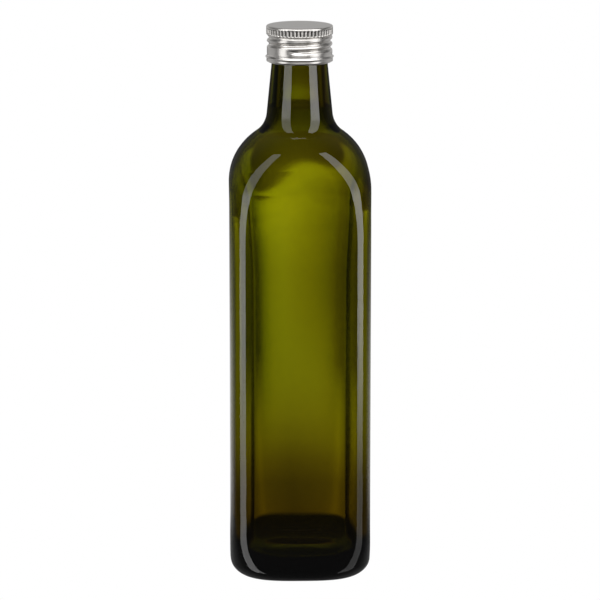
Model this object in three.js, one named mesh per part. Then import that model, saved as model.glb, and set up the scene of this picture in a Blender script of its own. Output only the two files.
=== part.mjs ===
// A square glass oil bottle of about 750 ml, shut with a rolled aluminium screw cap, built with three.js.
// Millimetres, +Z up. The origin lies on the resting surface, under the middle of the base,
// and the four flat faces look along +X, -X, +Y and -Y.
import * as THREE from "three";

// The glass from outside. Half-widths are measured at the middle of a face.
const SIDE = 69; // across two opposite faces, over the contact bands
const CAP_BOTTOM = 253.4; // where the neck goes in under the cap
const CAP_HEIGHT = 17.6;
const PANEL_RECESS = 0.2; // the flat panels lie this much behind the contact bands
const PANEL_FROM = 12; // height where the lower contact band starts to fall back
const PANEL_EASE = 14; // height over which a band runs into the panel
const SHOULDER_START = 193; // top of the straight faces
const SHOULDER_RADIUS = 32.3;
const NECK_FILLET = 12.6; // hollow curve between shoulder and neck
const NECK_RADIUS = 13.5; // just under the cap
const NECK_SLOPE = 0.1; // how much wider the neck gets for each mm down
const HEEL_RADIUS = 8;

// The glass inside, which has a shoulder and a fillet of its own
const WALL = 2.6; // at the middle of a face
const NECK_WALL = 3.9; // just under the cap
const SHOULDER_INSIDE = 31;
const FILLET_INSIDE = 19;
const SLOPE_INSIDE = 0.05;
const FLOOR_HEIGHT = 8; // top of the glass floor at its edge
const FLOOR_CROWN = 1.4; // the floor stands this much higher in the middle
const FLOOR_FILLET = 11;
const BORE_RADIUS = 9.6;
const BORE_DEPTH = 14; // straight part of the mouth

// The base is pushed up in the middle, so that the bottle stands on a flat ring.
const STANCE_WIDTH = 4;
const PUNT_HEIGHT = 2.6;

// Squareness is the exponent of a superellipse: 2 is a circle, and more is squarer.
const ROUND = 2;
const SQUARE_BODY = 6.7;
const SQUARE_BASE = 3.1;
const SQUARE_PUNT = 2.8;
const SQUARE_FLOOR = 3; // inside, at the floor
const SQUARE_INSIDE = 4.4; // rounder than outside, so the wall is thickest at the corners
const SQUARE_UPPER = 5.5; // inside, under the shoulder
const SQUARE_FULL = 24; // the base has grown to the squareness of the body here
const UPPER_HEIGHTS = [150, 200]; // the inside passes to its upper squareness between these
const SQUARE_UNTIL = 179; // the corners start to round off here
const ROUND_FROM = 222; // and the section is a circle from here up
const ROUND_POWER = 1.35; // makes the change to a circle end softly

// The finish, which is the plain glass mouth under the cap
const FINISH_RADIUS = 13.6;
const FINISH_STEP = 2; // height over which the neck widens to it, inside the cap
const LIP_ROUND = 1.2;

// The cap is one sheet of metal. Its depths are measured down from its top.
const CAP_WALL = 0.5;
const CAP_CLEARANCE = 0.3; // between the cap and the glass lip
const CAP_RADIUS = 15.85; // plain wall
const CAP_EDGE_ROUND = 0.7;
const KNURL_RADIUS = 16.15;
const KNURL_COUNT = 54;
const KNURL_DEPTH = 0.75;
const KNURL_TOP = 1;
const KNURL_BOTTOM = 4.1;
const KNURL_RUN_OUT = 0.5;
const WALL_FROM = 4.7;
const WALL_TO = 14.2;
const BEAD_RADIUS = 16.55;
const BEAD_CENTRE = 14.9;
const BEAD_FLAT = 0.5;
const BEAD_HALF = 0.9;
const SKIRT_RADIUS = 16.05; // just under the bead
const RIM_RADIUS = 15.5; // the rim is turned in a little
const RIM_ROUND = 0.25;

// The screw thread rolled into the cap. Angles are degrees round from +X, and the groove climbs with them.
const THREAD_PITCH = 3.5;
const THREAD_DEPTH = 1.1;
const THREAD_WIDTH = 3.1; // width of the rolled groove
const THREAD_AT_ZERO = 9.95; // depth below the top of the cap at 0 degrees
const THREAD_START = -118;
const THREAD_END = 600;
const THREAD_FADE = 36; // degrees over which the groove runs in and out
const THREAD_TURNS = [-1, 0, 1, 2];

// Facets
const GLASS_SIDES = 48;
const CAP_SIDES = 2 * KNURL_COUNT;
const WALL_STEPS = 8;
const SHOULDER_STEPS = 7;
const FILLET_STEPS = 4;
const HEEL_STEPS = 4;
const FLOOR_STEPS = 3;
const BODY_HEIGHTS = [186, 165, 150]; // rings of the inside under the shoulder

// Colours
const GLASS_COLOUR = 0x4a4d00;
const METAL_COLOUR = 0xc4c2bf;

const HEIGHT = CAP_BOTTOM + CAP_HEIGHT;
const HALF = SIDE / 2;
const LIP_HEIGHT = HEIGHT - CAP_WALL - CAP_CLEARANCE;
const FULL_TURN = 360;

const mix = (a, b, t) => a + (b - a) * t;
const clamp = (t) => Math.min(1, Math.max(0, t));
const ease = (t) => clamp(t) ** 2 * (3 - 2 * clamp(t));

// One ring of a turned shape: its radius at the middle of a face, its height, its squareness
// and, where the radius changes round the ring, a function that gives the change at an angle.
const ring = (r, z, n = ROUND, relief = () => 0) => ({ r, z, n, relief });

// Points on an arc in the plane of radius and height, without the first one.
function arc(centre, radius, from, to, steps) {
  return Array.from({ length: steps }, (_, i) => {
    const angle = mix(from, to, (i + 1) / steps);
    const r = centre.x + radius * Math.cos(angle);
    return new THREE.Vector2(r, centre.y + radius * Math.sin(angle));
  });
}

// Points up from the straight faces. The neck is a cone, the shoulder is an arc that bulges out, and the
// fillet between them is a hollow arc that touches both: its centre is one fillet radius off the cone,
// and both radii away from the centre of the shoulder.
function shoulderAndNeck(half, shoulderRadius, filletRadius, neckRadius, slope) {
  const tilt = Math.atan(slope);
  const centre = new THREE.Vector2(half - shoulderRadius, SHOULDER_START);
  const apart = shoulderRadius + filletRadius;
  const neckThere = neckRadius + slope * (CAP_BOTTOM - SHOULDER_START);
  const offset = neckThere + filletRadius / Math.cos(tilt) - centre.x;
  const a = 1 + slope ** 2;
  const b = offset * slope;
  const up = (b + Math.sqrt(b ** 2 - a * (offset ** 2 - apart ** 2))) / a;
  const toFillet = new THREE.Vector2(offset - slope * up, up);
  const turn = toFillet.angle();
  const hollow = toFillet.add(centre);
  return [
    ...arc(centre, shoulderRadius, 0, turn, SHOULDER_STEPS),
    ...arc(hollow, filletRadius, turn + Math.PI, tilt + Math.PI, FILLET_STEPS),
    new THREE.Vector2(neckRadius, CAP_BOTTOM),
  ];
}

// Squareness at this height: it grows from the base's to the body's, and falls to a circle at the neck.
function squareness(z, body, base) {
  const low = mix(base, body, ease(z / SQUARE_FULL));
  const t = clamp((z - SQUARE_UNTIL) / (ROUND_FROM - SQUARE_UNTIL));
  return mix(ROUND, low, (1 - t) ** ROUND_POWER);
}

const outsideRing = (r, z) => ring(r, z, squareness(z, SQUARE_BODY, SQUARE_BASE));

function insideRing(r, z) {
  const [from, to] = UPPER_HEIGHTS;
  const body = mix(SQUARE_INSIDE, SQUARE_UPPER, ease((z - from) / (to - from)));
  return ring(r, z, squareness(z, body, SQUARE_FLOOR));
}

// A ring as points: the column at each angle is the point of the superellipse whose normal has that angle.
function ringPoint({ r, z, n, relief }, angle) {
  const c = Math.cos(angle);
  const s = Math.sin(angle);
  const x = Math.abs(c) ** (1 / (n - 1));
  const y = Math.abs(s) ** (1 / (n - 1));
  const size = r > 0 ? (r + relief(angle)) * (x ** n + y ** n) ** (-1 / n) : 0;
  return [Math.sign(c) * x * size, Math.sign(s) * y * size, z];
}

// A closed shape from a list of rings, which run so that the solid lies on their left.
function turned(rings, sides) {
  const outline = rings.map(({ r, z }) => new THREE.Vector2(r, z));
  const geometry = new THREE.LatheGeometry(outline, sides);
  const position = geometry.getAttribute("position");
  for (let i = 0; i < position.count; i += 1) {
    const column = Math.floor(i / rings.length) % sides;
    const angle = (2 * Math.PI * column) / sides;
    position.setXYZ(i, ...ringPoint(rings[i % rings.length], angle));
  }
  geometry.deleteAttribute("normal");
  geometry.deleteAttribute("uv");
  return geometry;
}

// Underside: the push-up from its middle out to the flat ring, and the heel up to the straight faces.
function baseRings() {
  const outer = HALF - HEEL_RADIUS;
  const inner = outer - STANCE_WIDTH;
  const steps = Array.from({ length: FLOOR_STEPS + 1 }, (_, i) => i / FLOOR_STEPS);
  const punt = steps.map((t) =>
    ring(inner * t, PUNT_HEIGHT * (1 - t ** 2), mix(ROUND, SQUARE_PUNT, t)),
  );
  const heelCentre = new THREE.Vector2(outer, HEEL_RADIUS);
  const heel = arc(heelCentre, HEEL_RADIUS, -Math.PI / 2, 0, HEEL_STEPS);
  return [...punt, outsideRing(outer, 0), ...heel.map((p) => outsideRing(p.x, p.y))];
}

// The straight faces, with a label panel set back between two contact bands.
function panelRings() {
  const panel = HALF - PANEL_RECESS;
  const panelFrom = PANEL_FROM + PANEL_EASE;
  const panelTo = SHOULDER_START - PANEL_EASE;
  return [
    outsideRing(HALF, PANEL_FROM),
    outsideRing(mix(HALF, panel, 0.5), mix(PANEL_FROM, panelFrom, 0.5)),
    outsideRing(panel, panelFrom),
    outsideRing(panel, panelTo),
    outsideRing(mix(panel, HALF, 0.5), mix(panelTo, SHOULDER_START, 0.5)),
    outsideRing(HALF, SHOULDER_START),
  ];
}

// Shoulder, fillet and neck, and the mouth under the cap up to the top of its lip.
function topRings() {
  const neck = shoulderAndNeck(HALF, SHOULDER_RADIUS, NECK_FILLET, NECK_RADIUS, NECK_SLOPE);
  const lip = new THREE.Vector2(FINISH_RADIUS - LIP_ROUND, LIP_HEIGHT - LIP_ROUND);
  return [
    ...neck.map((p) => outsideRing(p.x, p.y)),
    ring(FINISH_RADIUS, CAP_BOTTOM + FINISH_STEP),
    ring(FINISH_RADIUS, lip.y),
    ...arc(lip, LIP_ROUND, 0, Math.PI / 2, 2).map((p) => ring(p.x, p.y)),
  ];
}

// Inside of the glass from the lip down: mouth, neck, fillet, shoulder and straight faces.
function insideTopRings() {
  const half = HALF - WALL;
  const neckRadius = NECK_RADIUS - NECK_WALL;
  const neck = shoulderAndNeck(half, SHOULDER_INSIDE, FILLET_INSIDE, neckRadius, SLOPE_INSIDE);
  const lip = new THREE.Vector2(BORE_RADIUS + LIP_ROUND, LIP_HEIGHT - LIP_ROUND);
  return [
    ring(lip.x, LIP_HEIGHT),
    ...arc(lip, LIP_ROUND, Math.PI / 2, Math.PI, 2).map((p) => ring(p.x, p.y)),
    ring(BORE_RADIUS, LIP_HEIGHT - BORE_DEPTH),
    ...neck.reverse().map((p) => insideRing(p.x, p.y)),
    ...[SHOULDER_START, ...BODY_HEIGHTS].map((z) => insideRing(half, z)),
  ];
}

// The corner between the inside of the faces and the floor, and the floor in to its middle.
function insideFloorRings() {
  const half = HALF - WALL;
  const centre = new THREE.Vector2(half - FLOOR_FILLET, FLOOR_HEIGHT + FLOOR_FILLET);
  const corner = arc(centre, FLOOR_FILLET, 0, -Math.PI / 2, HEEL_STEPS);
  const edge = insideRing(centre.x, FLOOR_HEIGHT).n;
  const steps = Array.from({ length: FLOOR_STEPS }, (_, i) => 1 - (i + 1) / FLOOR_STEPS);
  const floor = steps.map((t) =>
    ring(centre.x * t, FLOOR_HEIGHT + FLOOR_CROWN * (1 - t ** 2), mix(ROUND, edge, t)),
  );
  return [insideRing(half, centre.y), ...corner.map((p) => insideRing(p.x, p.y)), ...floor];
}

function bottleGeometry() {
  const outside = [...baseRings(), ...panelRings(), ...topRings()];
  const inside = [...insideTopRings(), ...insideFloorRings()];
  return turned([...outside, ...inside], GLASS_SIDES);
}

// How deep the rolled screw groove is at this angle (radians) and this depth below the cap's top.
function grooveDepth(angle, below) {
  const turns = THREAD_TURNS.map((turn) => {
    const along = THREE.MathUtils.radToDeg(angle) + FULL_TURN * turn;
    const away = below - (THREAD_AT_ZERO - (THREAD_PITCH * along) / FULL_TURN);
    const runIn = ease((along - THREAD_START) / THREAD_FADE);
    const runOut = ease((THREAD_END - along) / THREAD_FADE);
    const dip = Math.cos(Math.PI * Math.min(0.5, Math.abs(away) / THREAD_WIDTH)) ** 2;
    return THREAD_DEPTH * dip * runIn * runOut;
  });
  return Math.max(...turns);
}

// Rings of the threaded wall, from its top down, at this radius between the grooves.
function threadedRings(radius) {
  return Array.from({ length: WALL_STEPS + 1 }, (_, i) => {
    const below = mix(WALL_FROM, WALL_TO, i / WALL_STEPS);
    return ring(radius, HEIGHT - below, ROUND, (angle) => -grooveDepth(angle, below));
  });
}

// Knurled band under the edge of the cap's top: one column on each tooth and one in each gap.
function knurlRings() {
  const gap = (angle) => -KNURL_DEPTH * Math.sin((KNURL_COUNT * angle) / 2) ** 2;
  return [
    ring(KNURL_RADIUS, HEIGHT - KNURL_TOP),
    ring(KNURL_RADIUS, HEIGHT - KNURL_TOP - KNURL_RUN_OUT, ROUND, gap),
    ring(KNURL_RADIUS, HEIGHT - KNURL_BOTTOM + KNURL_RUN_OUT, ROUND, gap),
    ring(KNURL_RADIUS, HEIGHT - KNURL_BOTTOM),
  ];
}

// Outside of the cap, from the middle of its top down to its turned-in rim.
function capOutsideRings() {
  const edge = new THREE.Vector2(KNURL_RADIUS - CAP_EDGE_ROUND, HEIGHT - CAP_EDGE_ROUND);
  const bead = HEIGHT - BEAD_CENTRE;
  return [
    ring(0, HEIGHT),
    ring(edge.x, HEIGHT),
    ...arc(edge, CAP_EDGE_ROUND, Math.PI / 2, 0, 2).map((p) => ring(p.x, p.y)),
    ...knurlRings(),
    ...threadedRings(CAP_RADIUS),
    ring(BEAD_RADIUS, bead + BEAD_FLAT / 2),
    ring(BEAD_RADIUS, bead - BEAD_FLAT / 2),
    ring(SKIRT_RADIUS, bead - BEAD_HALF),
    ring(RIM_RADIUS, CAP_BOTTOM + RIM_ROUND),
    ring(RIM_RADIUS - RIM_ROUND, CAP_BOTTOM),
  ];
}

// Inside of the cap, from the rim up to the middle, one thickness of metal in from the outside.
function capInsideRings() {
  const bead = HEIGHT - BEAD_CENTRE;
  const under = HEIGHT - CAP_WALL;
  const wall = KNURL_RADIUS - KNURL_DEPTH - CAP_WALL;
  return [
    ring(RIM_RADIUS - CAP_WALL, CAP_BOTTOM + RIM_ROUND),
    ring(SKIRT_RADIUS - CAP_WALL, bead - BEAD_HALF),
    ring(BEAD_RADIUS - CAP_WALL, bead),
    ...threadedRings(CAP_RADIUS - CAP_WALL).reverse(),
    ring(wall, HEIGHT - KNURL_BOTTOM),
    ring(wall, under - CAP_EDGE_ROUND),
    ring(wall - CAP_EDGE_ROUND, under),
    ring(0, under),
  ];
}

function capGeometry() {
  return turned([...capOutsideRings(), ...capInsideRings()].reverse(), CAP_SIDES);
}

function namedMesh(name, geometry, material) {
  const mesh = new THREE.Mesh(geometry, material);
  mesh.name = name;
  return mesh;
}

const greenGlass = new THREE.MeshStandardMaterial({
  color: GLASS_COLOUR,
  roughness: 0.03,
  metalness: 0,
});
const satinAluminium = new THREE.MeshStandardMaterial({
  color: METAL_COLOUR,
  roughness: 0.32,
  metalness: 1,
});

const oilBottle = new THREE.Group();
oilBottle.add(namedMesh("bottle", bottleGeometry(), greenGlass));
oilBottle.add(namedMesh("cap", capGeometry(), satinAluminium));

export default oilBottle;
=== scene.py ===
# %% [markdown]
# # Square glass oil bottle
# The bottle stands empty and shut on a white table, as in a catalogue. Two things make its look: the
# thickness of its dark green glass, which decides how much light comes through at each place, and what
# is mirrored in it. So the glass is built with both its walls, and the lamps stand where they mirror as
# long bright bands along the corners. The bottle's sizes are in millimetres and become metres in the
# mesh, and the stage round it is in metres. The frame gives the outer sizes that all else starts from.

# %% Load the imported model
import math

import bpy
import numpy as np
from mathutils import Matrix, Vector


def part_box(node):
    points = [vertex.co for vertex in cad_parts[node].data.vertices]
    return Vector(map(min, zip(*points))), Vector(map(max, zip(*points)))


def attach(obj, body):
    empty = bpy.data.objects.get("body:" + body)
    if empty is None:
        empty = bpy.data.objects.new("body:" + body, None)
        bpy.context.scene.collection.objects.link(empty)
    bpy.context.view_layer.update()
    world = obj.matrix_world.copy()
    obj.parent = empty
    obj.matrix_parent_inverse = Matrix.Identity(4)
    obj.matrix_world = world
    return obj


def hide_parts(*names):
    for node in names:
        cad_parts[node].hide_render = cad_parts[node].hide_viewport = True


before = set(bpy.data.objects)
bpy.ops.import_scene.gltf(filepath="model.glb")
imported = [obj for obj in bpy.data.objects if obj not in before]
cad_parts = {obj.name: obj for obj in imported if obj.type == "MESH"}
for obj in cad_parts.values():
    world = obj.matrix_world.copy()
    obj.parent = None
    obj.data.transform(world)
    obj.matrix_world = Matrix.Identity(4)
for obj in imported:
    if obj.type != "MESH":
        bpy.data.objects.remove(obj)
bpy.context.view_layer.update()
MM = 0.001
(bottle_low, bottle_high), (cap_low, cap_high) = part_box("bottle"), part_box("cap")
HEIGHT = cap_high[2] / MM
CAP_BOTTOM = cap_low[2] / MM
HALF = bottle_high[0] / MM
print(f"bottle {2 * HALF:.1f} mm square, {HEIGHT:.1f} mm high, cap from {CAP_BOTTOM:.1f} mm")

# %% [markdown]
# ## How a surface is made here
# Glass and cap are both turned shapes: a ring that changes as it climbs. A ring is a superellipse, which
# is a circle at exponent 2 and nearly a square with round corners at exponent 7. Its points are found
# from the direction in which the surface faces there, because that direction is what bends the light,
# and it then runs smoothly from one ring to the next. A grid of rings by columns becomes one mesh.

# %% Rings, arcs and a mesh from a grid
QUARTER = math.pi / 2
FLAT_CROWDING = 0.4


def ease(t):
    """Runs from 0 to 1 with no corner at either end: 3 t squared minus 2 t cubed."""
    t = np.clip(t, 0, 1)
    return t * t * (3 - 2 * t)


def arc(centre, radius, start, stop, count):
    """Points on an arc in the plane of radius and height, from one angle to another, first one left out."""
    angle = np.linspace(start, stop, count + 1)[1:]
    return np.stack([centre[0] + radius * np.cos(angle), centre[1] + radius * np.sin(angle)], axis=1)


def line(start, stop, count):
    """Points on a straight line, first one left out."""
    t = np.linspace(0, 1, count + 1)[1:, None]
    return np.array(start) * (1 - t) + np.array(stop) * t


def superellipse(radius, squareness, column):
    """x and y of the point |x|^n + |y|^n = radius^n at each column, where n is the squareness.

    A column from 0 to 1 runs once round. Within each eighth of a turn the facing angle grows as a power
    of the column, which is 1 on a circle and more on a square, so that flat faces get points as well.
    """
    eighths = np.asarray(column) * 8
    to_corner = 1 - np.abs((eighths % 2) - 1)
    power = 1 + FLAT_CROWDING * (squareness - 2)
    from_flat = to_corner**power * math.pi / 4
    quarter = np.floor(eighths / 2)
    angle = quarter * QUARTER + np.where(eighths % 2 <= 1, from_flat, QUARTER - from_flat)
    c, s = np.cos(angle), np.sin(angle)
    root = 1 / (squareness - 1)
    x, y = np.abs(c) ** root, np.abs(s) ** root
    size = radius * (x**squareness + y**squareness) ** (-1 / squareness)
    return np.sign(c) * x * size, np.sign(s) * y * size


def mesh_from_rings(name, x, y, z):
    """A closed mesh from grids of x, y and z in mm, one ring for each row.

    The first and the last row shrink to a pole each. Squares join the other rings, and a fan of
    triangles joins each pole to the ring beside it.
    """
    rings, columns = x.shape
    inner = np.stack([x, y, z], axis=2)[1:-1].reshape(-1, 3)
    poles = [[0, 0, z[0, 0]], [0, 0, z[-1, 0]]]
    points = np.concatenate([inner, poles]) * MM
    here = np.arange(columns)
    after = (here + 1) % columns
    start = np.arange(rings - 3)[:, None] * columns
    quads = np.stack([start + here, start + after, start + columns + after, start + columns + here], axis=2)
    last = (rings - 3) * columns
    pole = (rings - 2) * columns
    first_fan = np.stack([np.full(columns, pole), after, here], axis=1)
    last_fan = np.stack([np.full(columns, pole + 1), last + here, last + after], axis=1)
    faces = [*quads.reshape(-1, 4).tolist(), *first_fan.tolist(), *last_fan.tolist()]
    mesh = bpy.data.meshes.new(name)
    mesh.from_pydata(points.tolist(), [], faces)
    mesh.polygons.foreach_set("use_smooth", np.ones(len(mesh.polygons), dtype=bool))
    mesh.update()
    piece = bpy.data.objects.new(name, mesh)
    bpy.context.scene.collection.objects.link(piece)
    triangles = 2 * quads.shape[0] * columns + 2 * columns
    print(f"{name}: {len(points)} points, {triangles} triangles")
    return piece


# %% [markdown]
# ## The outside of the glass
# This bottle was blown in a mould. The mould gives the outside: flat faces set a fifth of a millimetre
# behind two contact bands, round shoulders, a neck that narrows a little towards the cap, a rounded heel
# and a base whose middle is pushed up. The shoulder could be drawn point by point, but two arcs and a
# straight line that touch without a corner give the same form from three sizes.

# %% Outside of the glass
PANEL_RECESS = 0.2
PANEL_FROM, PANEL_TO, PANEL_EASE = 12, 194, 14
SHOULDER_START, SHOULDER_RADIUS = 193.0, 32.3
NECK_FILLET, NECK_RADIUS, NECK_SLOPE = 12.6, 13.5, 0.1
HEEL_RADIUS, STANCE_WIDTH, PUNT_HEIGHT = 8, 4, 2.6
SQUARE_BODY, SQUARE_BASE, SQUARE_PUNT = 6.7, 3.1, 2.8
SQUARE_FULL, SQUARE_UNTIL, SQUARE_EASE = 24, 179, 9
ROUND_FROM, ROUND_POWER = 222, 1.35
FINISH_RADIUS, FINISH_STEP, LIP_ROUND = 13.6, 2, 1.2
LIP_HEIGHT = bottle_high[2] / MM


def squareness(z, body, base):
    """Exponent of the ring at a height: the base's own, then the body's, then falling evenly to a circle."""
    low = base + (body - base) * ease(z / SQUARE_FULL)
    up = z - SQUARE_UNTIL
    up = np.where(up < SQUARE_EASE, np.maximum(up + SQUARE_EASE, 0) ** 2 / (4 * SQUARE_EASE), up)
    t = np.clip(up / (ROUND_FROM - SQUARE_UNTIL), 0, 1)
    return 2 + (low - 2) * (1 - t) ** ROUND_POWER


def shoulder_and_neck(half, round_radius, fillet_radius, neck, slope):
    """Points up from the straight faces: a bulging arc, a hollow arc and the cone of the neck, all tangent.

    The centre of the hollow arc is one fillet radius off the cone and the sum of both radii from the
    centre of the bulging arc, which gives a quadratic equation for its height.
    """
    tilt = math.atan(slope)
    centre = np.array([half - round_radius, SHOULDER_START])
    apart = round_radius + fillet_radius
    cone_there = neck + slope * (CAP_BOTTOM - SHOULDER_START)
    offset = cone_there + fillet_radius / math.cos(tilt) - centre[0]
    a = 1 + slope**2
    b = offset * slope
    up = (b + math.sqrt(b * b - a * (offset**2 - apart**2))) / a
    fillet = centre + [offset - slope * up, up]
    turn = math.atan2(*(fillet - centre)[::-1])
    bulge = arc(centre, round_radius, 0, turn, 44)
    hollow = arc(fillet, fillet_radius, turn + math.pi, tilt + math.pi, 24)
    return np.concatenate([bulge, hollow, line(hollow[-1], (neck, CAP_BOTTOM), 20)])


def outside_rings():
    """Radius, height and squareness of each ring from the middle of the base up to the lip.

    The pushed-up base is half a cosine wave, and the lip a quarter of a circle.
    """
    outer = HALF - HEEL_RADIUS
    inner = outer - STANCE_WIDTH
    t = np.linspace(0, 1, 20)
    punt_height = PUNT_HEIGHT * (0.5 + 0.5 * np.cos(math.pi * t))
    punt = np.stack([inner * t, punt_height, 2 + (SQUARE_PUNT - 2) * t], axis=1)
    stance = line((inner, 0, SQUARE_PUNT), (outer, 0, SQUARE_BASE), 4)
    heel = arc((outer, HEEL_RADIUS), HEEL_RADIUS, -QUARTER, 0, 24)
    z = np.linspace(HEEL_RADIUS, SHOULDER_START, 96)[1:]
    recess = PANEL_RECESS * ease((z - PANEL_FROM) / PANEL_EASE) * ease((PANEL_TO - z) / PANEL_EASE)
    body = np.stack([HALF - recess, z], axis=1)
    top = shoulder_and_neck(HALF, SHOULDER_RADIUS, NECK_FILLET, NECK_RADIUS, NECK_SLOPE)
    mouth = line((NECK_RADIUS, CAP_BOTTOM), (FINISH_RADIUS, CAP_BOTTOM + FINISH_STEP), 3)
    finish = line(mouth[-1], (FINISH_RADIUS, LIP_HEIGHT - LIP_ROUND), 4)
    lip = arc((FINISH_RADIUS - LIP_ROUND, LIP_HEIGHT - LIP_ROUND), LIP_ROUND, 0, QUARTER, 5)
    sides = np.concatenate([heel, body, top, mouth, finish, lip])
    sides = np.column_stack([sides, squareness(sides[:, 1], SQUARE_BODY, SQUARE_BASE)])
    return np.concatenate([punt, stance, sides])


print(f"shoulder from {SHOULDER_START:.0f} mm, neck {2 * NECK_RADIUS:.1f} mm, lip at {LIP_HEIGHT:.1f} mm")

# %% [markdown]
# ## The inside of the glass
# Air gives the inside, so it is rounder than the mould, and the glass is thickest at the corners and in
# the base. The wall could come from Solidify, but that makes it even all over, and the dark bands along
# the corners come from the wall getting thicker there. So the inside is a second set of rings.

# %% Inside of the glass
WALL, NECK_WALL = 2.6, 3.9
SHOULDER_INSIDE, FILLET_INSIDE, SLOPE_INSIDE = 31, 19, 0.05
FLOOR_HEIGHT, FLOOR_CROWN, FLOOR_FILLET = 8, 1.4, 11
BORE_RADIUS, BORE_DEPTH = 9.6, 14
SQUARE_INSIDE, SQUARE_UPPER, SQUARE_FLOOR = 4.4, 5.5, 3.0
UPPER_FROM, UPPER_TO = 150, 200


def inside_rings():
    """Radius, height and squareness of each ring from the lip down to the middle of the floor."""
    half = HALF - WALL
    lip = arc((BORE_RADIUS + LIP_ROUND, LIP_HEIGHT - LIP_ROUND), LIP_ROUND, QUARTER, math.pi, 5)
    bore = line(lip[-1], (BORE_RADIUS, LIP_HEIGHT - BORE_DEPTH), 3)
    neck = NECK_RADIUS - NECK_WALL
    down = shoulder_and_neck(half, SHOULDER_INSIDE, FILLET_INSIDE, neck, SLOPE_INSIDE)[::-1]
    centre = (half - FLOOR_FILLET, FLOOR_HEIGHT + FLOOR_FILLET)
    faces = line((half, SHOULDER_START), (half, centre[1]), 64)
    corner = arc(centre, FLOOR_FILLET, 0, -QUARTER, 20)
    sides = np.concatenate([lip, bore, down, faces, corner])
    z = sides[:, 1]
    upper_share = ease((z - UPPER_FROM) / (UPPER_TO - UPPER_FROM))
    body = SQUARE_INSIDE + (SQUARE_UPPER - SQUARE_INSIDE) * upper_share
    sides = np.column_stack([sides, squareness(z, body, SQUARE_FLOOR)])
    t = np.linspace(1, 0, 16)[1:]
    floor_height = FLOOR_HEIGHT + FLOOR_CROWN * (0.5 + 0.5 * np.cos(math.pi * t))
    floor = np.stack([centre[0] * t, floor_height, 2 + (sides[-1, 2] - 2) * t], axis=1)
    return np.concatenate([sides, floor])


print(f"inside {2 * (HALF - WALL):.1f} mm wide, floor at {FLOOR_HEIGHT} mm, bore {2 * BORE_RADIUS:.1f} mm")

# %% [markdown]
# ## The uneven wall
# Blown glass is never quite even. The inside waves by up to a quarter of a millimetre over lengths of
# 35 to 90 millimetres, and that draws the wandering lines seen through the corners. The waves are a sum
# of a few sines with seeded directions, added along the radius of the inside rings only, so the outside
# keeps the mould's clean faces. Higher up, the front and back walls also grow about 1.2 mm thicker
# towards the right, which makes the glass darker there.

# %% The glass mesh
WAVES_END, WAVES_FADE, STILL_MIDDLE = SHOULDER_START + 10, 30, 12
SHORTEST_WAVE, LONGEST_WAVE, WAVE_SPREAD = 35, 90, [1, 1, 0.45]
THICK_SIDE = 1.3
THICK_FROM_X, THICK_RUN_X = -8, 30
THICK_FROM_Z, THICK_RUN_Z = 95, 50


def uneven_wall(x, y, z, seed=3, waves=7, depth=0.09):
    """Depth in mm to add to the wall: a sum of sine waves with seeded directions and lengths.

    The directions are drawn with less height than breadth, so the crests stand more upright than level.
    """
    draw = np.random.default_rng(seed)
    total = np.zeros_like(x)
    for _ in range(waves):
        along = draw.normal(size=3) * WAVE_SPREAD
        length = draw.uniform(SHORTEST_WAVE, LONGEST_WAVE)
        along *= 2 * math.pi / length / np.linalg.norm(along)
        total += np.sin(along[0] * x + along[1] * y + along[2] * z + draw.uniform(0, 2 * math.pi))
    return depth * total / math.sqrt(waves / 2)


def glass_grid(columns=192):
    """x, y and z of every ring and column, outside first.

    On the inside each point moves towards the axis by the uneven wall's depth there. Its y also shrinks
    by the share that the thick side takes of half the bottle's width.
    """
    outside, inside = outside_rings(), inside_rings()
    rings = np.concatenate([outside, inside])
    column = np.arange(columns) / columns
    radius, height, square = (rings[:, i : i + 1] for i in range(3))
    x, y = superellipse(radius, square, column[None, :])
    z = np.broadcast_to(height, x.shape).copy()
    within = np.zeros((len(rings), 1))
    within[len(outside) :] = ease((WAVES_END - height[len(outside) :]) / WAVES_FADE)
    within *= ease(radius / STILL_MIDDLE)
    shrink = 1 - within * uneven_wall(x, y, z) / np.maximum(np.hypot(x, y), 1)
    to_right = ease((x - THICK_FROM_X) / THICK_RUN_X)
    higher = ease((z - THICK_FROM_Z) / THICK_RUN_Z)
    thinner_room = 1 - within * THICK_SIDE * to_right * higher / HALF
    return x * shrink, y * shrink * thinner_room, z


glass = mesh_from_rings("glass_bottle", *glass_grid())
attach(glass, "root")
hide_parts("bottle")

# %% [markdown]
# ## The relief of the cap
# The cap was drawn as a cup from thin aluminium sheet and rolled onto the glass. Rollers press the thread
# groove round it, knurls are rolled under its top edge for grip, and a bead stiffens it above the
# turned-in rim. All of it is one sheet, so it is one surface: a profile carried round the axis, with
# the groove and the knurls as changes of its radius. All heights on the cap are depths below its top.

# %% Thread groove and knurls
KNURL_RADIUS, KNURL_COUNT, KNURL_DEPTH, KNURL_POWER = 16.15, 54, 0.75, 1.3
KNURL_TOP, KNURL_BOTTOM, KNURL_RUN_OUT = 1.0, 4.1, 0.5
THREAD_PITCH, THREAD_DEPTH, THREAD_WIDTH = 3.2, 1.1, 3.0
THREAD_AT_ZERO, THREAD_START, THREAD_END, THREAD_FADE = 10.5, -118, 600, 36


def groove(angle, below):
    """Depth in mm of the rolled groove: a raised cosine across a line that climbs with the angle."""
    deepest = np.zeros(np.broadcast(angle, below).shape)
    for winding in (-1, 0, 1, 2):
        along = np.degrees(angle) + 360 * winding
        away = below - (THREAD_AT_ZERO - THREAD_PITCH * along / 360)
        run = ease((along - THREAD_START) / THREAD_FADE) * ease((THREAD_END - along) / THREAD_FADE)
        dip = np.cos(math.pi * np.minimum(0.5, np.abs(away) / THREAD_WIDTH)) ** 2
        deepest = np.maximum(deepest, THREAD_DEPTH * dip * run)
    return deepest


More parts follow.
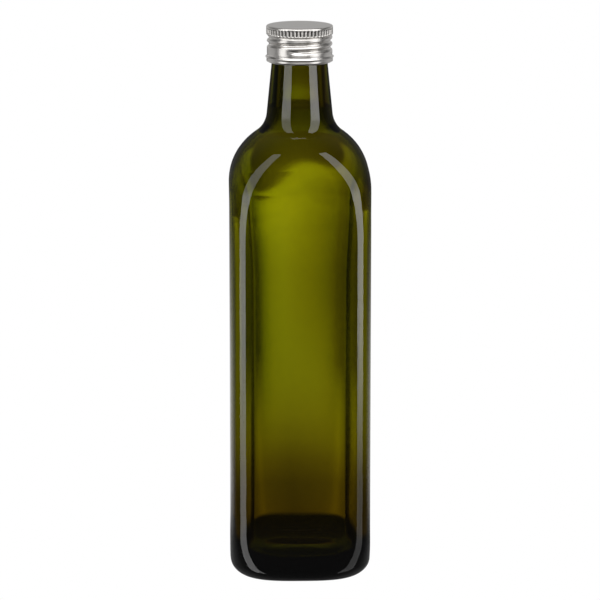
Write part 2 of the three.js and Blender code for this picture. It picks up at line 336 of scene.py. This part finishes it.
def knurl(angle, below):
    """Depth in mm between the knurls: one minus a power of |cos|, which fades out at both ends.

    That leaves narrow gaps between broad round teeth.
    """
    tooth = np.abs(np.cos(KNURL_COUNT * angle / 2)) ** KNURL_POWER
    span = ease((below - KNURL_TOP) / KNURL_RUN_OUT) * ease((KNURL_BOTTOM - below) / KNURL_RUN_OUT)
    return KNURL_DEPTH * (1 - tooth) * span


KNURL_SPACING = 2 * math.pi * KNURL_RADIUS / KNURL_COUNT
print(f"{KNURL_COUNT} knurls, {KNURL_SPACING:.2f} mm apart, thread pitch {THREAD_PITCH} mm")

# %% [markdown]
# ## The cap's profile and mesh
# From the middle of the top the profile runs over a rounded edge, down the knurls to a narrow neck under
# them, down the thread wall to a slight waist, out over the crisp bead and down the skirt to the rim. The
# inside is the same profile moved in by the thickness of the sheet. Solidify could do that as well, but
# on a closed surface the rim and the middle stay joined without any further step.

# %% The cap mesh
CAP_RADIUS, CAP_EDGE_ROUND, CAP_WALL = 15.85, 0.7, 0.4
STEP_FROM, STEP_RUN = 4.0, 0.5
UNDER_KNURLS, UNDER_KNURLS_AT, UNDER_KNURLS_WIDTH = 0.45, 4.85, 0.35
COARSE_UNTIL, WALL_UNTIL = 4.6, 13.3
WAIST = [(0.03, 13.6), (0.12, 14.0), (0.14, 14.25), (0.05, 14.5)]
BEAD_RADIUS, BEAD_CENTRE, BEAD_HALF = 16.55, 15.0, 0.85
BEAD_ROUND, BEAD_ROUND_DROP = 0.16, 0.12
BEAD_TOP_IN, BEAD_TOP_RISE = 0.08, 0.1
BEAD_BOTTOM = BEAD_CENTRE + BEAD_HALF
SKIRT_RADIUS, RIM_RADIUS, RIM_ROUND = 16.05, 15.5, 0.2
SKIRT = [(0.1, BEAD_BOTTOM), (0.08, BEAD_BOTTOM + 0.2), (0, 16.6), (0, 17.2)]
GROOVE_FROM, GROOVE_TO, GROOVE_EDGE = 4.9, 13.4, 0.6
RELIEF_FROM, RELIEF_RUN, NEAR_AXIS = 10, 3, 1


def cap_profile():
    """Radius and depth below the top along the outside of the cap, from the middle of its top to its rim.

    WAIST and SKIRT list how far each point lies inside its radius, and how far below the top. An arc
    counts its heights upwards, so those are turned over.
    """
    edge = KNURL_RADIUS - CAP_EDGE_ROUND
    top = line((0, 0), (edge, 0), 8)
    rounded = arc((edge, -CAP_EDGE_ROUND), CAP_EDGE_ROUND, QUARTER, 0, 8) * [1, -1]
    knurls = np.linspace(CAP_EDGE_ROUND, COARSE_UNTIL, 22)[1:]
    below = np.concatenate([knurls, np.linspace(COARSE_UNTIL, WALL_UNTIL, 62)[1:]])
    step = KNURL_RADIUS + (CAP_RADIUS - KNURL_RADIUS) * ease((below - STEP_FROM) / STEP_RUN)
    hollow = UNDER_KNURLS * np.exp(-(((below - UNDER_KNURLS_AT) / UNDER_KNURLS_WIDTH) ** 2))
    wall = np.stack([step - hollow, below], axis=1)
    waist = [(CAP_RADIUS - inward, down) for inward, down in WAIST]
    bead_top = [(BEAD_RADIUS - BEAD_TOP_IN, BEAD_CENTRE - BEAD_TOP_RISE)]
    bead_middle = (BEAD_RADIUS - BEAD_ROUND, -BEAD_CENTRE - BEAD_ROUND_DROP)
    bead = arc(bead_middle, BEAD_ROUND, QUARTER / 2, -QUARTER / 2, 4) * [1, -1]
    skirt = [(SKIRT_RADIUS - inward, down) for inward, down in SKIRT]
    under_bead = line(bead[-1], skirt[0], 3)
    rim_top = HEIGHT - CAP_BOTTOM - RIM_ROUND
    rim = line(skirt[-1], (RIM_RADIUS, rim_top), 4)
    lip = arc((RIM_RADIUS - RIM_ROUND, -rim_top), RIM_ROUND, 0, -QUARTER, 3) * [1, -1]
    upper = [[(0, 0)], top, rounded, wall, waist]
    return np.concatenate([*upper, bead_top, bead, under_bead, skirt[1:], rim, lip])


def cap_grid(columns=KNURL_COUNT * 10):
    """x, y and z of the cap, inside then outside, and at each point its share of a full knurl gap.

    The inside is every third ring of the outside, moved in by the sheet's thickness. The relief is taken
    off the radius, and it fades out on the flat top towards the axis.
    """
    outside = cap_profile()
    inside = outside[::-3] - [CAP_WALL, 0]
    inside[:, 1] = np.maximum(inside[:, 1], CAP_WALL)
    inside = inside[inside[:, 0] > NEAR_AXIS]
    profile = np.concatenate([outside, inside, [(0, CAP_WALL)]])[::-1]
    radius, below = profile[:, :1], profile[:, 1:]
    angle = np.linspace(0, 2 * math.pi, columns, endpoint=False)[None, :]
    fade = ease((radius - RELIEF_FROM) / RELIEF_RUN)
    thread = groove(angle, below) * ease((GROOVE_TO - below) / GROOVE_EDGE)
    thread = thread * ease((below - GROOVE_FROM) / GROOVE_EDGE)
    gaps = knurl(angle, below) * fade
    radius = radius - thread * fade - gaps
    return radius * np.cos(angle), radius * np.sin(angle), HEIGHT - below + 0 * angle, gaps / KNURL_DEPTH


*cap_points, gap_share = cap_grid()
cap = mesh_from_rings("screw_cap", *cap_points)
# The gap share is stored so that the cap's material can paint shade into the knurl gaps.
shade = cap.data.attributes.new("gap", "FLOAT", "POINT")
shade.data.foreach_set("value", np.concatenate([gap_share[1:-1].ravel(), [0, 0]]).astype(np.float32))
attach(cap, "root")
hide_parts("cap")

# %% [markdown]
# ## How a material is made here
# A material is a few nodes joined by links. One helper adds a node with its settings and links, one gives
# a colour ramp its stops, and one turns a colour as seen on a screen into the linear values that light
# is reckoned in.


# %% Helpers for materials
def linear(hex_colour):
    """An sRGB hex colour as linear red, green, blue and alpha."""
    parts = [int(hex_colour[i : i + 2], 16) / 255 for i in (1, 3, 5)]
    return [p / 12.92 if p <= 0.04045 else ((p + 0.055) / 1.055) ** 2.4 for p in parts] + [1.0]


def add(tree, kind, settings=None, **sockets):
    """Adds a node. Settings are its attributes, and a socket takes a value or another node's output.

    A socket goes by its name, with _ for a space, or by its number after an i, as in i0.
    """
    node = tree.nodes.new(kind)
    for name, value in (settings or {}).items():
        setattr(node, name, value)
    for name, value in sockets.items():
        numbered = name[0] == "i" and name[1:].isdigit()
        socket = node.inputs[int(name[1:]) if numbered else name.replace("_", " ")]
        if isinstance(value, bpy.types.NodeSocket):
            tree.links.new(value, socket)
        else:
            socket.default_value = value
    return node


def fill_ramp(ramp, stops):
    """Gives a colour ramp its stops, each a position from 0 to 1 followed by red, green and blue."""
    elements = ramp.color_ramp.elements
    while len(elements) < len(stops):
        elements.new(0.5)
    for element, (position, *colour) in zip(elements, stops):
        element.position = position
        element.color = [*colour, 1.0]


def new_material(name):
    """An empty material with its output node."""
    material = bpy.data.materials.new(name)
    material.use_nodes = True
    material.node_tree.nodes.clear()
    return material, material.node_tree, add(material.node_tree, "ShaderNodeOutputMaterial")


COLOURS = {"data_type": "RGBA"}
WHITE = (1, 1, 1, 1)

# %% [markdown]
# ## Bottle glass
# The real glass is soda-lime glass coloured with iron and chromium, which take out blue light above all.
# It is clear on its surface, and its colour lies in its depth: with every millimetre light loses much of
# its blue, and some of its green and red. A coloured surface would look equally dark where the wall is
# thin and where it is thick. So the shader is clear, and the colour is a volume that absorbs light.

# %% Olive green bottle glass
GLASS_IOR = 1.52
LOSS_PER_MM = np.array([0.205, 0.212, 1.2])


def bottle_glass():
    """Blown soda-lime glass, smooth and clear, coloured through. The loss is for red, green and blue."""
    material, tree, out = new_material("olive_green_soda_lime_glass")
    loss = LOSS_PER_MM / MM
    density = loss.max()
    clear = linear("#F8F8F8")
    shader = add(tree, "ShaderNodeBsdfPrincipled", Base_Color=clear, Roughness=0.0, IOR=GLASS_IOR)
    shader.inputs["Transmission Weight"].default_value = 1.0
    kept = [*(1 - loss / density), 1.0]
    volume = add(tree, "ShaderNodeVolumeAbsorption", Color=kept, Density=float(density))
    tree.links.new(shader.outputs["BSDF"], out.inputs["Surface"])
    tree.links.new(volume.outputs["Volume"], out.inputs["Volume"])
    return material


glass.data.materials.append(bottle_glass())
print(f"{WALL} mm of glass lets through {math.exp(-LOSS_PER_MM[1] * WALL):.0%} of the green light")

# %% [markdown]
# ## Satin aluminium
# The cap is rolled aluminium sheet under a clear satin lacquer. It mirrors its surroundings softly, so
# lamps turn into broad soft bands. The real grain is too fine to show, so it is drawn 0.35 mm across,
# where it breaks up the mirror image a little. The gaps between the knurls are deep and catch little
# light. The mesh shows a part of that, and painted shade gives the rest: the gap attribute darkens the
# base colour there towards a near-black shade colour.

# %% Satin aluminium sheet
GRAIN, GRAIN_RELIEF, GRAIN_STRENGTH = 0.35, 0.05, 0.12
SMOOTHEST, ROUGHEST = 0.26, 0.36
# The next two lines set the painted shade in the knurl gaps: where in a gap the darkening starts and ends,
# and the dark colour that stands for the little light that reaches there.
SHADE_FROM, SHADE_FULL, SHADE_MOST = 0.15, 0.8, 0.88
SHEET_COLOUR, PAINTED_GAP_SHADE = "#D9D6D2", "#2E2C2A"


def cap_metal():
    """Satin lacquered aluminium: roughness and bump follow one fine grain, and painted shade darkens the
    knurl gaps.
    """
    material, tree, out = new_material("satin_lacquered_aluminium")
    place = add(tree, "ShaderNodeTexCoord").outputs["Object"]
    grain = add(tree, "ShaderNodeTexNoise", Vector=place, Scale=1 / (GRAIN * MM), Detail=2.0).outputs["Fac"]
    rough = add(tree, "ShaderNodeMapRange", Value=grain, To_Min=SMOOTHEST, To_Max=ROUGHEST)
    bump = add(tree, "ShaderNodeBump", Height=grain, Strength=GRAIN_STRENGTH, Distance=GRAIN_RELIEF * MM)
    # The gap attribute paints shade: the base colour darkens where the knurl gaps are deep.
    gap = add(tree, "ShaderNodeAttribute", {"attribute_name": "gap"}).outputs["Fac"]
    depth = add(tree, "ShaderNodeMapRange", Value=gap, From_Min=SHADE_FROM, From_Max=SHADE_FULL)
    depth.inputs["To Max"].default_value = SHADE_MOST
    painted_shade = add(tree, "ShaderNodeMix", COLOURS, i6=linear(SHEET_COLOUR), i7=linear(PAINTED_GAP_SHADE))
    tree.links.new(depth.outputs["Result"], painted_shade.inputs["Factor"])
    shader = add(tree, "ShaderNodeBsdfPrincipled", Base_Color=painted_shade.outputs[2], Metallic=1.0)
    tree.links.new(rough.outputs["Result"], shader.inputs["Roughness"])
    tree.links.new(bump.outputs["Normal"], shader.inputs["Normal"])
    tree.links.new(shader.outputs["BSDF"], out.inputs["Surface"])
    return material


cap.data.materials.append(cap_metal())
print(f"cap roughness {SMOOTHEST} to {ROUGHEST}")

# %% [markdown]
# ## The table
# A catalogue picture shows the bottle on pure white, yet the glass is dark with a pattern of its own: the
# light that comes through it has crossed the real studio behind. Those two can't be had from one plain
# white table. So the camera sees white, and the light that comes through the glass finds a table whose
# brightness is drawn by distance and by direction. It is dark under the bottle and warm and dim up to 0.2 m
# away, which is a painted shadow of the bottle, coloured by the glass. Further out it is grey to 0.8 m,
# brightest at 1.1 m and dim beyond. To the left of straight behind it is nearly black and to the right dim
# and warm, which gives the glass its darker parts beside the middle. Further round it is bright again.
# Mirror images of the table have a sheet of their own, which comes next.

# %% White table
TABLE_SIZE = 12
GLOW_REACH = 1.6
NEAR, FAR = 0.2, 0.5
# GLOW up to 0.21 m is a painted shadow of the bottle: nearly black under it, then warm and dim.
GLOW = [
    (0.0, 0.001, 0.001, 0.001), (0.08, 0.002, 0.002, 0.001), (0.1, 0.12, 0.075, 0.05),
    (0.17, 0.13, 0.09, 0.06), (0.21, 0.19, 0.145, 0.1), (0.26, 0.30, 0.26, 0.2),
    (0.32, 0.38, 0.36, 0.34), (0.4, 0.40, 0.40, 0.375), (0.53, 0.40, 0.41, 0.38),
    (0.74, 0.44, 0.45, 0.42), (0.92, 0.60, 0.62, 0.59), (1.02, 0.66, 0.68, 0.65),
    (1.08, 0.76, 0.78, 0.76), (1.14, 0.68, 0.69, 0.66), (1.18, 0.33, 0.3, 0.26),
    (1.22, 0.2, 0.17, 0.14), (1.3, 0.18, 0.155, 0.12), (1.5, 0.16, 0.135, 0.1),
]
FAR_SIDES = [
    (-90, 2.6, 2.6, 2.6), (-66, 2.0, 2.0, 2.0), (-50, 0.07, 0.09, 0.07), (-18, 0.07, 0.09, 0.07),
    (-12.5, 0.6, 0.68, 0.62), (-8, 0.82, 0.9, 0.82), (-4, 1.0, 1.06, 1.0), (0, 1.06, 1.1, 1.06),
    (6, 0.97, 0.94, 0.9), (13, 0.76, 0.68, 0.6), (22, 0.44, 0.35, 0.26), (50, 0.4, 0.3, 0.2),
    (66, 2.0, 2.0, 1.9), (90, 2.6, 2.5, 2.5),
]
NEAR_SIDES = [
    (-90, 1.5, 1.5, 1.5), (-40, 2.0, 2.0, 2.0), (-25, 2.6, 2.6, 2.6), (-20, 2.6, 2.6, 2.6),
    (-14, 1.5, 1.5, 1.5), (-8, 1.15, 1.15, 1.15), (0, 0.85, 0.85, 0.85), (10, 1.25, 1.25, 1.25),
    (14, 1.6, 1.6, 1.6), (20, 2.8, 2.8, 2.8), (28, 2.8, 2.8, 2.8), (40, 2.0, 2.0, 2.0),
    (90, 1.5, 1.5, 1.5),
]


def table_material():
    """White to the camera. To the glass it is the GLOW at that distance times the SIDES at that direction.

    GLOW goes by metres from the bottle. SIDES go by degrees from straight behind, positive to the right,
    and in front of the bottle the value for 90 degrees on that side goes on. NEAR_SIDES turn into
    FAR_SIDES between the distances NEAR and FAR.
    """
    material, tree, out = new_material("white_table")
    place = add(tree, "ShaderNodeTexCoord").outputs["Object"]
    distance = add(tree, "ShaderNodeVectorMath", {"operation": "LENGTH"}, i0=place).outputs["Value"]
    share = add(tree, "ShaderNodeMath", {"operation": "DIVIDE"}, i0=distance, i1=GLOW_REACH).outputs["Value"]
    glow = add(tree, "ShaderNodeValToRGB", Fac=share)
    fill_ramp(glow, [(at / GLOW_REACH, *colour) for at, *colour in GLOW])
    parts = add(tree, "ShaderNodeSeparateXYZ", Vector=place).outputs
    turn = add(tree, "ShaderNodeMath", {"operation": "ARCTAN2"}, i0=parts["X"], i1=parts["Y"])
    half_turn = add(tree, "ShaderNodeMapRange", Value=turn.outputs["Value"])
    half_turn.inputs["From Min"].default_value = -QUARTER
    half_turn.inputs["From Max"].default_value = QUARTER
    far_sides = add(tree, "ShaderNodeValToRGB", Fac=half_turn.outputs["Result"])
    fill_ramp(far_sides, [(0.5 + at / 180, *colour) for at, *colour in FAR_SIDES])
    near_sides = add(tree, "ShaderNodeValToRGB", Fac=half_turn.outputs["Result"])
    fill_ramp(near_sides, [(0.5 + at / 180, *colour) for at, *colour in NEAR_SIDES])
    away = add(tree, "ShaderNodeMapRange", Value=distance, From_Min=NEAR, From_Max=FAR).outputs["Result"]
    sides = add(tree, "ShaderNodeMix", COLOURS, Factor=away, i6=near_sides.outputs["Color"])
    tree.links.new(far_sides.outputs["Color"], sides.inputs[7])
    product = {**COLOURS, "blend_type": "MULTIPLY"}
    through = add(tree, "ShaderNodeMix", product, Factor=1.0, i6=glow.outputs["Color"], i7=sides.outputs[2])
    camera_ray = add(tree, "ShaderNodeLightPath").outputs["Is Camera Ray"]
    shown = add(tree, "ShaderNodeMix", COLOURS, Factor=camera_ray, i6=through.outputs[2], i7=WHITE)
    shader = add(tree, "ShaderNodeEmission", Color=shown.outputs[2])
    tree.links.new(shader.outputs["Emission"], out.inputs["Surface"])
    return material


bpy.ops.mesh.primitive_plane_add(size=TABLE_SIZE)
table = bpy.context.object
table.name = "table"
table.data.materials.append(table_material())
table.visible_glossy = False
print(f"table {TABLE_SIZE} m wide, {len(GLOW)} steps of brightness outwards, {len(FAR_SIDES)} round it")

# %% [markdown]
# ## The table as the glass mirrors it
# The pale rims of the glass are mirror images of the lit table beside and behind the bottle. Their
# brightness has to be set apart from that of the light that comes through, so they get a sheet of their
# own, which only mirrored light meets. It adds its light and lets through what lies behind it, so the
# tall lamps still mirror through it. In front of the bottle there is just a faint patch near the foot.

# %% Mirrored table
MIRROR_REACH, MIRROR_DROP = 1.2, 0.0005
MIRROR_GLOW = [
    (0.0, 0.06), (0.08, 0.06), (0.12, 0.2), (0.2, 0.4), (0.4, 0.42), (0.55, 0.33), (0.7, 0.2), (0.9, 0.06),
    (1.1, 0.0),
]
BEHIND_FROM, BEHIND_FULL = 0.15, 0.6
PATCH_FROM, PATCH_TO, PATCH_LIGHT = 0.08, 0.17, 0.06


def mirrored_table_material():
    """Added light: MIRROR_GLOW by metres from the bottle behind it, and a faint patch in front of it."""
    material, tree, out = new_material("mirrored_table")
    place = add(tree, "ShaderNodeTexCoord").outputs["Object"]
    distance = add(tree, "ShaderNodeVectorMath", {"operation": "LENGTH"}, i0=place).outputs["Value"]
    share = add(tree, "ShaderNodeMath", {"operation": "DIVIDE"}, i0=distance, i1=MIRROR_REACH)
    glow = add(tree, "ShaderNodeValToRGB", Fac=share.outputs["Value"])
    fill_ramp(glow, [(at / MIRROR_REACH, level, level, level) for at, level in MIRROR_GLOW])
    facing = add(tree, "ShaderNodeVectorMath", {"operation": "NORMALIZE"}, i0=place).outputs["Vector"]
    backward = add(tree, "ShaderNodeSeparateXYZ", Vector=facing).outputs["Y"]
    behind = add(tree, "ShaderNodeMapRange", Value=backward, From_Min=BEHIND_FROM, From_Max=BEHIND_FULL)
    patch = add(tree, "ShaderNodeMapRange", Value=distance, From_Min=PATCH_FROM, From_Max=PATCH_TO)
    patch.inputs["To Min"].default_value = PATCH_LIGHT
    patch.inputs["To Max"].default_value = 0.0
    light = add(tree, "ShaderNodeMix", COLOURS, Factor=behind.outputs["Result"], i6=patch.outputs["Result"])
    tree.links.new(glow.outputs["Color"], light.inputs[7])
    shader = add(tree, "ShaderNodeEmission", Color=light.outputs[2]).outputs["Emission"]
    clear = add(tree, "ShaderNodeBsdfTransparent").outputs["BSDF"]
    both = add(tree, "ShaderNodeAddShader", i0=shader, i1=clear)
    tree.links.new(both.outputs["Shader"], out.inputs["Surface"])
    return material


bpy.ops.mesh.primitive_plane_add(size=2 * MIRROR_REACH, location=(0, 0, -MIRROR_DROP))
mirrored_table = bpy.context.object
mirrored_table.name = "mirrored_table"
mirrored_table.data.materials.append(mirrored_table_material())
mirrored_table.visible_camera = False
mirrored_table.visible_transmission = False
mirrored_table.visible_diffuse = False
mirrored_table.visible_shadow = False
print(f"mirrored table reaches {MIRROR_REACH} m from the bottle")

# %% [markdown]
# ## The dim room
# Beyond the table the light that comes through the glass meets a dome, dark in front and a little
# brighter far behind. Mirrored light meets the world instead, which is dim as well. Could the world serve
# both? It could, but then a brighter far end would also show as a haze on the rims of the glass. The
# camera itself sees the world as white, so the table has no visible end.

# %% Dome and world
DOME_RADIUS = 9
DOME_LIGHT = [(0.0, 0.02), (0.4, 0.055), (0.9, 0.06), (0.98, 0.2)]
MIRRORED_ROOM = [(0.0, 0.02), (0.4, 0.055), (1.0, 0.055)]


def dome_material():
    """The room as seen through the glass: DOME_LIGHT by how far back a point lies, 1 at the very back."""
    material, tree, out = new_material("dim_room")
    place = add(tree, "ShaderNodeTexCoord").outputs["Object"]
    backward = add(tree, "ShaderNodeSeparateXYZ", Vector=place).outputs["Y"]
    share = add(tree, "ShaderNodeMath", {"operation": "DIVIDE"}, i0=backward, i1=DOME_RADIUS)
    light = add(tree, "ShaderNodeValToRGB", Fac=share.outputs["Value"])
    fill_ramp(light, [(at, level, level, level) for at, level in DOME_LIGHT])
    shader = add(tree, "ShaderNodeEmission", Color=light.outputs["Color"])
    tree.links.new(shader.outputs["Emission"], out.inputs["Surface"])
    return material


bpy.ops.mesh.primitive_uv_sphere_add(segments=48, ring_count=24, radius=DOME_RADIUS)
dome = bpy.context.object
dome.name = "dome"
dome.data.materials.append(dome_material())
dome.visible_camera = False
dome.visible_glossy = False
dome.visible_diffuse = False
dome.visible_shadow = False

world = bpy.data.worlds.new("studio")
bpy.context.scene.world = world
world.use_nodes = True
sky = world.node_tree
sky.nodes.clear()
direction = add(sky, "ShaderNodeTexCoord").outputs["Generated"]
to_back = add(sky, "ShaderNodeSeparateXYZ", Vector=direction).outputs["Y"]
room = add(sky, "ShaderNodeValToRGB", Fac=to_back)
fill_ramp(room, [(at, level, level, level) for at, level in MIRRORED_ROOM])
seen = add(sky, "ShaderNodeLightPath").outputs["Is Camera Ray"]
shown = add(sky, "ShaderNodeMix", COLOURS, Factor=seen, i6=room.outputs["Color"], i7=WHITE)
light = add(sky, "ShaderNodeBackground", Color=shown.outputs[2])
sky.links.new(light.outputs["Background"], add(sky, "ShaderNodeOutputWorld").inputs["Surface"])
print(f"dome of {DOME_RADIUS} m, light {DOME_LIGHT[0][1]} in front and {DOME_LIGHT[-1][1]} at the back")

# %% [markdown]
# ## The lamps beside the glass
# A tall soft box stands in front at each side. The rounded corners of the glass mirror it as a bright
# band down their whole length. The camera looks down, so upright glass mirrors what lies lower than
# itself, and the boxes reach below the table for that. They get dimmer above and below their brightest
# stretch, and so do the bands. In a real studio the same lamps light the cap too. Here each lamp lights
# one piece only, so the glass and the cap can be lit apart, and no lamp shows itself to the camera or
# through the glass.

# %% Strip lamps
LAMP_LOW, LAMP_HIGH, LAMP_DISTANCE = -2.6, 3.3, 1.2


def direction_to(azimuth, elevation=0):
    """Unit vector from the axis outwards, from two angles in degrees.

    The azimuth is counted from straight in front, positive to the right.
    """
    around, up = math.radians(azimuth), math.radians(elevation)
    level = math.cos(up)
    return Vector((math.sin(around) * level, -math.cos(around) * level, math.sin(up)))


def only_for(piece):
    """A collection that limits a lamp to one piece."""
    collection = bpy.data.collections.new("lit_" + piece.name)
    collection.objects.link(piece)
    return collection


def hang_lamp(data, width, height, radiance, place, outward, piece):
    """Hangs a flat lamp that faces back against the outward direction and lights one piece.

    Its power is the radiance times pi times its area.
    """
    data.shape = "RECTANGLE"
    data.size = width
    data.size_y = height
    data.energy = radiance * math.pi * width * height
    lamp = bpy.data.objects.new(data.name, data)
    bpy.context.scene.collection.objects.link(lamp)
    lamp.location = place
    lamp.rotation_euler = outward.to_track_quat("Z", "Y").to_euler()
    lamp.visible_camera = False
    lamp.visible_transmission = False
    lamp.light_linking.receiver_collection = only_for(piece)
    print(f"{data.name}: {width} by {height:.1f} m, {data.energy:.1f} W")


def soft_box(name, azimuth, width, radiance, shares):
    """A tall flat lamp that faces the bottle. Its list gives the share of full light at each height."""
    height = LAMP_HIGH - LAMP_LOW
    data = bpy.data.lights.new(name, "AREA")
    data.use_nodes = True
    tree = data.node_tree
    tree.nodes.clear()
    place = add(tree, "ShaderNodeNewGeometry").outputs["Position"]
    up = add(tree, "ShaderNodeSeparateXYZ", Vector=place).outputs["Z"]
    share = add(tree, "ShaderNodeMapRange", Value=up, From_Min=LAMP_LOW, From_Max=LAMP_HIGH)
    ramp = add(tree, "ShaderNodeValToRGB", Fac=share.outputs["Result"])
    fill_ramp(ramp, [((at - LAMP_LOW) / height, value, value, value) for at, value in shares])
    shader = add(tree, "ShaderNodeEmission", Color=ramp.outputs["Color"])
    tree.links.new(shader.outputs["Emission"], add(tree, "ShaderNodeOutputLight").inputs["Surface"])
    outward = direction_to(azimuth)
    middle = Vector((0, 0, (LAMP_LOW + LAMP_HIGH) / 2))
    hang_lamp(data, width, height, radiance, middle + LAMP_DISTANCE * outward, outward, glass)


LEFT_SHARES = [(-0.5, 0.55), (-0.25, 0.6), (-0.12, 1.0), (0.25, 0.85), (0.5, 0.45)]
RIGHT_SHARES = [(-0.5, 0.18), (-0.25, 0.22), (-0.12, 1.0), (0.3, 1.0), (0.6, 0.62)]
soft_box("left_strip", -49.5, 0.71, 3.4, LEFT_SHARES)
soft_box("right_strip", 54.5, 0.74, 3.8, RIGHT_SHARES)

# %% [markdown]
# ## The lamps round the cap
# A round metal cap mirrors nearly the whole room at once: a soft front, a brighter panel at each side, a
# large one above and dim ones behind. Those at the sides become soft upright bands, and the one above
# lights the top of the cap and the upper edges of the knurls, the bead and the groove.

# %% Cap panels
PANEL_AWAY, CAP_MIDDLE = 1.5, 0.262


def cap_panel(name, azimuth, elevation, width, height, radiance):
    """A flat lamp that faces the middle of the cap from the given direction, in degrees."""
    outward = direction_to(azimuth, elevation)
    place = Vector((0, 0, CAP_MIDDLE)) + PANEL_AWAY * outward
    hang_lamp(bpy.data.lights.new(name, "AREA"), width, height, radiance, place, outward, cap)


cap_panel("cap_front", 0, -10, 1.5, 0.9, 0.75)
cap_panel("cap_left", -62, -8, 0.8, 0.9, 1.7)
cap_panel("cap_right", 55, -8, 0.9, 0.9, 1.9)
cap_panel("cap_top", 0, 58, 5.0, 1.7, 2.8)
cap_panel("cap_back_left", -125, -6, 1.8, 1.0, 0.4)
cap_panel("cap_back_right", 125, -6, 1.8, 1.0, 0.4)
cap_panel("cap_back", 180, 14, 3.0, 0.9, 0.43)

# %% [markdown]
# ## The camera
# The camera looks down on the bottle by twelve degrees from 1.8 m away. The two ellipses at the cap and
# the foot give that angle, and how much the bottle narrows towards its foot gives the distance. The lens
# is given as pixels for each unit of slope, with the pixel that it points at. Light has to pass many
# walls of glass, so the limit on its bounces is high, and colours are shown without a film curve.

# %% Camera and colour
DISTANCE, PITCH, AZIMUTH = 1.8144, 12.0, -1.5
AIM = Vector((0, 0, 0.13406))
PIXELS, PIXELS_PER_SLOPE = 600, 3697.2
CENTRE_X, CENTRE_Y = 299.6, 302.28
SENSOR = 36
camera = bpy.data.objects.new("camera", bpy.data.cameras.new("camera"))
bpy.context.scene.collection.objects.link(camera)
out_along = direction_to(AZIMUTH, PITCH)
camera.location = AIM + out_along * DISTANCE
camera.rotation_euler = out_along.to_track_quat("Z", "Y").to_euler()
camera.data.sensor_width = SENSOR
camera.data.lens = SENSOR * PIXELS_PER_SLOPE / PIXELS
camera.data.shift_x = (PIXELS / 2 - CENTRE_X) / PIXELS
camera.data.shift_y = (CENTRE_Y - PIXELS / 2) / PIXELS
bpy.context.scene.camera = camera
print(f"camera {DISTANCE:.2f} m away, lens {camera.data.lens:.0f} mm")

scene = bpy.context.scene
scene.view_settings.view_transform = "Standard"
scene.cycles.max_bounces = 24
scene.cycles.transmission_bounces = 24
scene.cycles.glossy_bounces = 12
scene.cycles.caustics_reflective = True
scene.cycles.caustics_refractive = True
scene.cycles.use_denoising = True
